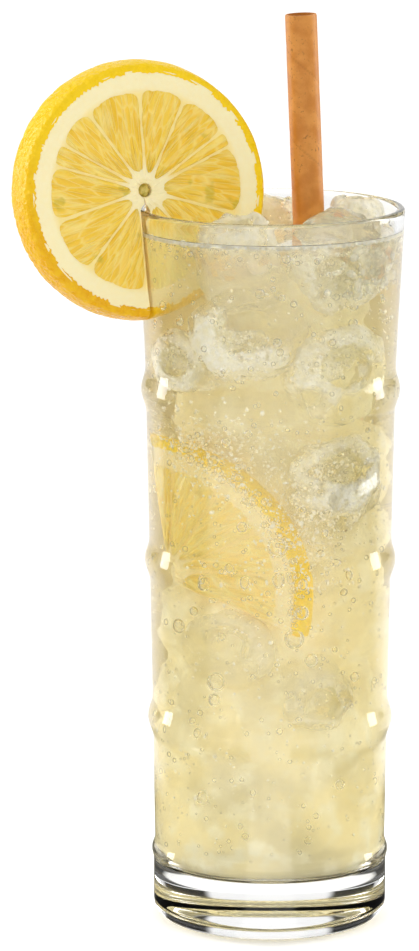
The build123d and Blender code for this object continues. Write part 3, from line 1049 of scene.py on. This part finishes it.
def ice_shape(centre, way, radius, length, hollow, seed, rows=64, segments=72):
    """A rounded ice cylinder with a bowl melted into the end that way points to, worn uneven all over.

    The outline runs from the closed end's pole round two quarter-circle edges and down into the bowl, whose
    depth is hollow times the length.  The girth is oval by 6 %, and every point is moved by a ripple.
    Also gives each point's direction from the piece's middle.
    """
    half = length / 2
    edge = min(0.45 * length, 0.42 * radius)
    mouth = radius - edge * 1.15
    turn = np.linspace(0, np.pi / 2, 12)
    low_r, low_z = radius - edge + edge * np.sin(turn), -half + edge - edge * np.cos(turn)
    top_r, top_z = radius - edge + edge * np.cos(turn), half - edge + edge * np.sin(turn)
    bowl = np.linspace(0, 1, 16)[1:]
    bowl_r = mouth * np.cos(bowl * np.pi / 2) ** 0.8
    bowl_z = half - hollow * length * np.sin(bowl * np.pi / 2) ** 1.4
    flat = np.linspace(0, 1, 9)[:-1]
    radii = np.concatenate([flat * (radius - edge), low_r, top_r, bowl_r])
    heights = np.concatenate([-half - 0.6 * MM * (1 - flat**2), low_z, top_z, bowl_z])
    radii[-1] = 0.0
    step = np.concatenate([[0], np.cumsum(np.hypot(np.diff(radii), np.diff(heights)))])
    even = np.linspace(0, step[-1], rows)
    points, quads = turned_surface(np.interp(even, step, radii), np.interp(even, step, heights), segments)
    rng = np.random.default_rng(seed)
    around = np.arctan2(points[:, 1], points[:, 0]) + rng.uniform(0, 6)
    points[:, :2] *= (1 + 0.06 * np.cos(2 * around) + 0.02 * np.cos(5 * around))[:, None]
    worn = [ripple(points, 9 * MM, seed + axis) for axis in range(3)]
    points += 0.45 * MM * np.stack(worn, -1)
    points += 0.16 * MM * ripple(points, 3.2 * MM, seed + 5, 36)[:, None] * points / radius
    away = points @ frame_along(way)
    return (np.asarray(centre) + away, quads), away / np.linalg.norm(away, axis=1)[:, None]


def box_centre(node):
    """The middle of a CAD node's box."""
    low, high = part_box(node)
    return (np.array(low) + np.array(high)) / 2


# Pieces that stand out of the drink: node, way of the hollow, radius, length, share of hollow,
# move from the node's middle, side that is frosted, how much, and seed.
STANDING_ICE = (
    ("ice_right", (-0.05, -0.93, -0.34), 10.6, 16.5, 0.42, (0.3, 0.2, 0.2), (-0.45, -0.45, -0.75), 1.0, 101),
    ("ice_front", (-0.25, -0.30, 0.95), 8.8, 19.8, 0.35, (0, 0, 0), (0.2, -0.3, 0.9), 0.35, 111),
    ("ice_back", (0.22, 0.10, 0.96), 7.6, 20.6, 0.35, (0, 0, 0), (0.5, -0.6, 0.6), 0.4, 121),
    ("ice_far_right", (0.06, 0.02, 1.0), 6.4, 19.0, 0.3, (0.2, 0, 0), (0.4, -0.5, 0.7), 0.5, 131),
)
# Sunk pieces: centre, way of the hollow, radius, length, share of hollow, frosted side, how much, and seed.
SUNK_ICE = (
    ((-5.0, -15.5, 148.5), (-0.12, -0.95, 0.20), 11.6, 17.0, 0.45, (-0.35, -0.5, -0.8), 1.0, 201),
    ((14.2, -11.6, 138.0), (0.30, -0.90, 0.30), 11.2, 16.0, 0.45, (-0.3, -0.6, 0.75), 0.8, 211),
    ((13.6, -12.4, 111.0), (0.25, -0.70, 0.60), 10.8, 17.0, 0.40, (0.4, -0.8, 0.3), 0.8, 221),
    ((-8.5, -14.8, 70.5), (-0.20, -0.90, 0.30), 10.0, 15.0, 0.45, (0.3, -0.5, 0.7), 0.3, 231),
    ((9.8, -16.0, 60.0), (0.30, -0.90, -0.20), 8.5, 14.0, 0.45, (0.5, -0.5, -0.5), 0.3, 241),
    ((-16.5, -9.5, 139.0), (-0.70, -0.60, 0.30), 8.2, 15.0, 0.40, (-0.5, -0.7, 0.4), 0.7, 251),
    ((2.0, 17.0, 145.0), (0.10, 0.95, 0.25), 10.5, 15.0, 0.45, (0.2, 0.7, 0.6), 0.8, 261),
    ((-14.5, 13.5, 124.0), (-0.60, 0.75, 0.20), 8.5, 14.0, 0.45, (-0.3, 0.8, -0.4), 0.8, 271),
    ((13.0, 14.5, 121.0), (0.60, 0.75, -0.20), 8.0, 14.0, 0.45, (0.5, 0.8, 0.1), 0.7, 281),
    ((-4.0, 18.0, 102.0), (-0.10, 0.95, 0.30), 8.4, 13.0, 0.45, (0.0, 0.9, 0.3), 0.6, 291),
)
FROST_OFFSET = 1.012


def frosted(shape, away, centre, side, amount, seed):
    """A skin just outside an ice piece, and its frost mark, which is high on the frosted side."""
    points, quads = shape
    facing = away @ (np.asarray(side) / np.linalg.norm(side))
    patchy = 0.22 * ripple(points, 7 * MM, seed + 7)
    mark = amount * smooth_step(facing + patchy, -0.05, 0.60)
    return (np.asarray(centre) + (points - centre) * FROST_OFFSET, quads), mark


standing_ice = ice_material("standing_ice", 1.31, 0.86)
sunk_ice = ice_material("sunk_ice", 1.16, 0.95)
frost_skins, frost_marks, sunk_shapes = [], [], []
crumb_rng = np.random.default_rng(7)
for node, way, radius, length, hollow, move, side, amount, seed in STANDING_ICE:
    centre = box_centre(node) + np.array(move) * MM
    shape, away = ice_shape(centre, way, radius * MM, length * MM, hollow, seed)
    piece_from_arrays(f"{node}_melting", *shape, standing_ice, "ice", [node])
    skin, mark = frosted(shape, away, centre, side, amount, seed)
    frost_skins.append(skin)
    frost_marks.append(mark)
for centre, way, radius, length, hollow, side, amount, seed in SUNK_ICE:
    centre = np.array(centre) * MM
    shape, away = ice_shape(centre, way, radius * MM, length * MM, hollow, seed, 56, 64)
    sunk_shapes.append(shape)
    skin, mark = frosted(shape, away, centre, side, amount, seed)
    frost_skins.append(skin)
    frost_marks.append(mark)
piece_from_arrays("ice_sunk", *joined(sunk_shapes), sunk_ice, "ice")
frost_points, frost_quads = joined(frost_skins)
frost_mark = np.concatenate(frost_marks)
piece_from_arrays(
    "ice_frost", frost_points, frost_quads, frost_material(), "ice", marks={"frost": frost_mark}
)

# ---- crumbs of broken ice that cling to the frosted sides, and larger splinters at the right ----
CRUMB_COUNT = 1800
SPLINTER_COUNT = 70
chance = np.maximum(frost_mark - 0.25, 0) * (frost_points[:, 2] < DRINK_LEVEL + 5 * MM)
spots = crumb_rng.choice(len(frost_points), CRUMB_COUNT, p=chance / chance.sum())
crumb_sizes = 0.34 * MM * crumb_rng.lognormal(0, 0.35, (CRUMB_COUNT, 1))
crumb_sizes = crumb_sizes * crumb_rng.uniform(0.5, 1.0, (CRUMB_COUNT, 3))
crumbs = copies(ball(4, 6), frost_points[spots], crumb_sizes, random_turns(crumb_rng, CRUMB_COUNT))
CRUMB = plain_material("ice_crumbs", (0.96, 0.93, 0.82), (0.995, 0.985, 0.95), 700.0, 0.35)
piece_from_arrays("ice_crumbs", *crumbs, CRUMB, "ice", crease=0.5)

splinter_angle = crumb_rng.normal(-0.52, 0.24, SPLINTER_COUNT)
splinter_height = DRINK_LEVEL - crumb_rng.uniform(0.5, 13.0, SPLINTER_COUNT) * MM
splinter_size = crumb_rng.uniform(0.7, 2.1, (SPLINTER_COUNT, 1)) * MM
splinter_size = splinter_size * crumb_rng.uniform(0.35, 1.0, (SPLINTER_COUNT, 3))
splinter_reach = inner_radius(splinter_height) - 2.3 * MM - crumb_rng.uniform(0, 4.0, SPLINTER_COUNT) * MM
splinter_spots = about_axis(splinter_reach, splinter_angle, splinter_height)
splinters = copies(ball(5, 6), splinter_spots, splinter_size, random_turns(crumb_rng, SPLINTER_COUNT))
piece_from_arrays("ice_splinters", *splinters, ice_material("splinter_ice", 1.25, 0.6), "ice", crease=0.3)


# ======================================================================================
# Bubbles and pulp
# ======================================================================================

# Larger bubbles on the front of the glass: distance to the right of its middle, height and radius, in mm.
LARGE_BUBBLES = (
    (1.7, 97.6, 2.5),
    (5.6, 75.0, 2.35),
    (7.3, 81.3, 1.75),
    (9.6, 69.5, 1.6),
    (-12.4, 63.7, 2.2),
    (-12.9, 59.3, 1.5),
    (-15.5, 34.5, 1.6),
    (-20.8, 76.0, 1.7),
    (-17.6, 80.6, 1.1),
    (7.6, 88.6, 1.1),
    (1.9, 89.6, 1.5),
    (-16.8, 50.5, 0.9),
    (17.0, 86.0, 1.0),
    (19.5, 64.0, 1.2),
    (-9.5, 92.0, 1.2),
    (-6.5, 102.5, 1.3),
)
# Swarms of pulp beside the sunk slice: height and its spread in mm, bearing and its spread, and count.
PULP_SWARMS = ((106, 10, -66, 15, 1300), (120, 5, -128, 22, 900))
SPECK_COUNT = 2500
AIR, _, _ = clear_material("trapped_air", (1.0, 1.0, 1.0), AIR_IN_WATER_INDEX)
bubble_rng = np.random.default_rng(19)


def on_wall(angle, height, radius):
    """Centres of bubbles of this radius that touch the inside of the glass at these angles from +X."""
    return about_axis(inner_radius(height) - radius * 1.06 - DRINK_INTO_WALL, angle, height)


def large_bubbles():
    """The larger bubbles: slightly egg-shaped balls against the wall."""
    across, height, radius = (np.array(LARGE_BUBBLES) * MM).T
    reach = inner_radius(height) - radius
    spots = on_wall(-np.pi / 2 + np.arcsin(across / reach), height, radius)
    sizes = radius[:, None] * np.array([[1.0, 1.0, 1.05]])
    return copies(ball(18, 28), spots, sizes, np.repeat(np.eye(3)[None], len(radius), 0))


def small_bubbles():
    """Fine bubbles: scattered on the wall, thick at the liquid's edge, clinging to the sunk slice and ice."""
    top, bottom = DRINK_LEVEL - 0.8 * MM, FLOOR_LEVEL + 5 * MM
    wall_count, edge_count, rind_count, ice_count, free_count = 1100, 260, 170, 420, 420
    draw = bubble_rng.uniform
    wall_size = 0.40 * MM * bubble_rng.lognormal(0, 0.45, wall_count)
    wall_spots = on_wall(draw(0, 2 * np.pi, wall_count), draw(bottom, top, wall_count), wall_size)
    edge_size = 0.30 * MM * bubble_rng.lognormal(0, 0.4, edge_count)
    edge_height = DRINK_LEVEL - edge_size - bubble_rng.exponential(1.0 * MM, edge_count)
    edge_spots = on_wall(draw(0, 2 * np.pi, edge_count), edge_height, edge_size)
    rind_size = 0.45 * MM * bubble_rng.lognormal(0, 0.45, rind_count)
    rind_angle = np.radians(draw(-15, 82, rind_count))
    rind_radius = SUNK_RADIUS - draw(-0.6, 3.5, rind_count) * MM
    rind_spots = on_disc(sunk, rind_radius, rind_angle, rind_size * 0.8)
    ice_size = 0.38 * MM * bubble_rng.lognormal(0, 0.4, ice_count)
    ice_spots = frost_points[bubble_rng.choice(len(frost_points), ice_count, p=chance / chance.sum())]
    free_size = 0.40 * MM * bubble_rng.lognormal(0, 0.45, free_count)
    free_height = draw(bottom, top, free_count)
    free_reach = inner_radius(free_height) - 1.0 * MM - bubble_rng.exponential(3.0 * MM, free_count)
    free_spots = about_axis(free_reach, draw(0, 2 * np.pi, free_count), free_height)
    spots = np.concatenate([wall_spots, edge_spots, rind_spots, ice_spots, free_spots])
    sizes = np.concatenate([wall_size, edge_size, rind_size, ice_size, free_size])
    inside = np.hypot(spots[:, 0], spots[:, 1]) + sizes < inner_radius(spots[:, 2])
    inside &= spots[:, 2] + sizes < DRINK_LEVEL
    spots, sizes = spots[inside], sizes[inside]
    level = np.repeat(np.eye(3)[None], len(sizes), 0)
    return copies(ball(6, 8), spots, np.repeat(sizes[:, None], 3, 1), level)


def pulp_and_fizz_specks():
    """Specks of pulp and the finest fizz: flakes near the wall, and two swarms of them beside the slice. The
    fizz is drawn as pale opaque specks, a painted glint in place of clear bubbles.
    """
    heights = [bubble_rng.uniform(FLOOR_LEVEL + 4 * MM, DRINK_LEVEL - 2 * MM, SPECK_COUNT)]
    angles = [bubble_rng.uniform(0, 2 * np.pi, SPECK_COUNT)]
    for middle, half, bearing, width, swarm_count in PULP_SWARMS:
        heights.append(bubble_rng.normal(middle, half, swarm_count) * MM)
        angles.append(np.radians(bubble_rng.normal(bearing, width, swarm_count)))
    height, angle = np.concatenate(heights), np.concatenate(angles)
    count = len(height)
    reach = inner_radius(height) - 0.9 * MM - bubble_rng.exponential(2.2 * MM, count)
    spots = about_axis(reach, angle, height)
    sizes = 0.30 * MM * bubble_rng.lognormal(0, 0.4, (count, 1)) * bubble_rng.uniform(0.4, 1.0, (count, 3))
    return copies(ball(4, 6), spots, sizes, random_turns(bubble_rng, count))


def froth_ring():
    """The thread of fine froth along the liquid's edge: a ring of uneven thickness against the wall."""
    turn = np.linspace(0, 2 * np.pi, 720, endpoint=False)[:, None]
    around = np.linspace(0, 2 * np.pi, 12, endpoint=False)[None, :]
    spots = np.stack([np.cos(turn), np.sin(turn), 0 * turn], -1)[:, 0]
    rough = 0.30 * MM * (1 + 0.35 * ripple(spots, 0.045, 41, 40))[:, None] + 0 * around
    reach = inner_radius(DRINK_LEVEL) - 0.25 * MM + rough * np.cos(around)
    height = DRINK_LEVEL + 0.25 * MM + 1.6 * rough * np.sin(around)
    return about_axis(reach, turn, height).reshape(-1, 3), grid_quads(720, 12, True, True)


FROTH = plain_material("froth", (0.93, 0.88, 0.66), (0.99, 0.97, 0.86), 1500.0, 0.5)
piece_from_arrays("froth_ring", *froth_ring(), FROTH, "cloudy_drink")
piece_from_arrays("bubbles_large", *large_bubbles(), AIR, "cloudy_drink")
piece_from_arrays("bubbles_small", *small_bubbles(), AIR, "cloudy_drink")
# Painted highlight: the pale cream of these specks stands partly for pulp and partly for the glints of the
# finest bubbles.
PULP_AND_FIZZ_GLINT = plain_material("pulp", (0.97, 0.91, 0.70), (0.99, 0.97, 0.86), 800.0, 0.6)
piece_from_arrays("pulp_and_fizz_specks", *pulp_and_fizz_specks(), PULP_AND_FIZZ_GLINT, "cloudy_drink")


# ======================================================================================
# Stage, light and camera
# ======================================================================================

scene = bpy.context.scene
scene.view_settings.view_transform = "Standard"
# Long light paths, and none blurred away: light that left the cloudy drink through two curved walls counts.
scene.cycles.max_bounces = 36
scene.cycles.diffuse_bounces = 10
scene.cycles.glossy_bounces = 12
scene.cycles.transmission_bounces = 36
scene.cycles.transparent_max_bounces = 24
scene.cycles.volume_bounces = 10
scene.cycles.blur_glossy = 0.0
scene.cycles.caustics_reflective = True
scene.cycles.caustics_refractive = True

WORLD_LEVEL = 0.95
DARK_LEVEL = 0.03
# Where the dark begins and is full: the ceiling, far sides and flags, by the shares of Z and of X in a way.
CEILING_UP = (0.54, 0.70)
FAR_SIDE_ASIDE = (0.90, 0.95)
FAR_SIDE_BELOW = (0.62, 0.50)
FLAG_ASIDE = (0.34, 0.42)
FLAG_WITHIN = (0.84, 0.78)
FLAG_BELOW = (0.64, 0.54)
STILL_SHARP = 0.5
SOFTBOX_DISTANCE = 0.80
SOFTBOX_HEIGHT = 0.36
SOFTBOX_SIZE = (0.20, 0.72)


def seen_through(material):
    """The ray kinds, and masks of the gloss and glass rays and of rays that no matt surface has turned."""
    rays = material.node_tree.nodes.new("ShaderNodeLightPath").outputs
    glassy = worked(material, "MAXIMUM", rays["Is Glossy Ray"], rays["Is Transmission Ray"])
    return rays, glassy, worked(material, "LESS_THAN", rays["Diffuse Depth"], STILL_SHARP)


def studio_world():
    """A white room with a dark ceiling, dark far sides and low dark flags that only gloss and glass see.

    The camera sees plain white.  Gloss and glass see white too, but for the ceiling, from the height of the
    direction's Z, the far sides, from its X, and the flags either side of the white backdrop.  Matt surfaces
    are lit by an even white, also through glass, as the diffuse depth of a ray tells.
    """
    world = bpy.data.worlds.new("soft_studio")
    scene.world = world
    world.use_nodes = True
    nodes, links = world.node_tree.nodes, world.node_tree.links

    def rise(value, bounds):
        return spread(world, value, *bounds, shape="SMOOTHSTEP")

    way = nodes.new("ShaderNodeSeparateXYZ")
    links.new(nodes.new("ShaderNodeTexCoord").outputs["Generated"], way.inputs[0])
    up, aside = way.outputs["Z"], worked(world, "ABSOLUTE", way.outputs["X"])
    far_side = worked(world, "MULTIPLY", rise(aside, FAR_SIDE_ASIDE), rise(up, FAR_SIDE_BELOW))
    flag = worked(world, "MULTIPLY", rise(aside, FLAG_ASIDE), rise(aside, FLAG_WITHIN))
    low_flag = worked(world, "MULTIPLY", flag, rise(up, FLAG_BELOW))
    dark = worked(world, "MAXIMUM", worked(world, "MAXIMUM", rise(up, CEILING_UP), far_side), low_flag)
    rays, glassy, sharp = seen_through(world)
    dark = worked(world, "MULTIPLY", worked(world, "MULTIPLY", dark, sharp), 1.0 - DARK_LEVEL)
    seen = worked(world, "MULTIPLY", worked(world, "SUBTRACT", 1.0, dark), glassy)
    matt = worked(world, "SUBTRACT", 1.0, worked(world, "MAXIMUM", rays["Is Camera Ray"], glassy))
    level = worked(world, "ADD", seen, worked(world, "MULTIPLY", matt, WORLD_LEVEL))
    background = nodes["Background"]
    background.inputs["Color"].default_value = (1, 1, 1, 1)
    links.new(worked(world, "ADD", level, rays["Is Camera Ray"]), background.inputs["Strength"])


def softbox(name, azimuth, power):
    """An upright soft lamp that looks at the glass; azimuth in degrees from the front, to the right."""
    data = bpy.data.lights.new(name, "AREA")
    data.shape = "RECTANGLE"
    data.size, data.size_y = SOFTBOX_SIZE
    data.energy = power
    lamp = bpy.data.objects.new(name, data)
    scene.collection.objects.link(lamp)
    turn = math.radians(azimuth)
    place = Vector((math.sin(turn), -math.cos(turn), 0)) * SOFTBOX_DISTANCE
    place.z = SOFTBOX_HEIGHT
    lamp.location = place
    lamp.rotation_euler = (Vector((0, 0, GLASS_TOP / 2)) - place).to_track_quat("-Z", "Y").to_euler()
    lamp.visible_camera = False


studio_world()
softbox("softbox_left", -112.0, 3.0)
softbox("softbox_right", 112.0, 2.7)

FLOOR_HALF = 3.0
FLOOR_GLOW = 0.2
# The floor's darkening: its start, full reach and strength by the share aside, and how near the foot it ends.
FLOOR_NEAR = (0.64, 0.76, 0.0, 0.32)
FLOOR_FAR = (0.80, 0.90, 0.0, 0.95)
FLOOR_BY_FOOT = (0.28, 0.36, 0.0, 0.93)
FLOOR_FOOT_REACH = (0.17, 0.13)
CORNER_SIGNS = ((-1, -1), (1, -1), (1, 1), (-1, 1))
floor_mesh = bpy.data.meshes.new("floor")
corners = [(across * FLOOR_HALF, back * FLOOR_HALF, 0) for across, back in CORNER_SIGNS]
floor_mesh.from_pydata(corners, [], [(0, 1, 2, 3)])
floor = bpy.data.objects.new("floor", floor_mesh)
scene.collection.objects.link(floor)


def floor_material():
    """Matt white, plain white to the camera; far to the left and right, glass and gloss see it darker.

    The darkening goes by x / r at a point of the floor, so that it is the same at every distance.  Close to
    the foot it starts nearer the middle, which gives the thick clear foot its two dark patches.
    """
    material, shader, output = new_material("floor")
    nodes, links = material.node_tree.nodes, material.node_tree.links
    shader.inputs["Base Color"].default_value = (0.96, 0.96, 0.96, 1)
    shader.inputs["Specular IOR Level"].default_value = 0.0
    shader.inputs["Emission Color"].default_value = (1, 1, 1, 1)
    here = nodes.new("ShaderNodeTexCoord").outputs["Object"]
    way, reach = nodes.new("ShaderNodeVectorMath"), nodes.new("ShaderNodeVectorMath")
    way.operation, reach.operation = "NORMALIZE", "LENGTH"
    shares = nodes.new("ShaderNodeSeparateXYZ")
    for start, end in ((here, way), (here, reach), (way.outputs[0], shares)):
        links.new(start, end.inputs[0])
    aside = worked(material, "ABSOLUTE", shares.outputs["X"])
    near, far = spread(material, aside, *FLOOR_NEAR), spread(material, aside, *FLOOR_FAR)
    by_foot = spread(material, reach.outputs["Value"], *FLOOR_FOOT_REACH)
    foot = worked(material, "MULTIPLY", spread(material, aside, *FLOOR_BY_FOOT), by_foot)
    darker = worked(material, "MAXIMUM", worked(material, "MAXIMUM", near, far), foot)
    rays, glassy, sharp = seen_through(material)
    glow = spread(material, rays["Is Camera Ray"], 0, 1, 0, FLOOR_GLOW)
    links.new(glow, shader.inputs["Emission Strength"])
    black, blend = nodes.new("ShaderNodeEmission"), nodes.new("ShaderNodeMixShader")
    black.inputs["Strength"].default_value = 0.0
    seen_darker = worked(material, "MULTIPLY", sharp, worked(material, "MULTIPLY", glassy, darker))
    links.new(seen_darker, blend.inputs["Fac"])
    links.new(shader.outputs[0], blend.inputs[1])
    links.new(black.outputs[0], blend.inputs[2])
    links.new(blend.outputs[0], output.inputs["Surface"])
    return material


floor_mesh.materials.append(floor_material())

CAMERA_PLACE = Vector((0.0, -1.330, 0.3651))
CAMERA_DOWN = math.radians(10.86)
CAMERA_LEFT = math.radians(0.637)
CAMERA_LENS = 211.0
camera_data = bpy.data.cameras.new("camera")
camera_data.lens = CAMERA_LENS
camera_data.sensor_width = 36.0
camera = bpy.data.objects.new("camera", camera_data)
scene.collection.objects.link(camera)
camera.location = CAMERA_PLACE
camera.rotation_euler = (math.pi / 2 - CAMERA_DOWN, 0, CAMERA_LEFT)
scene.camera = camera
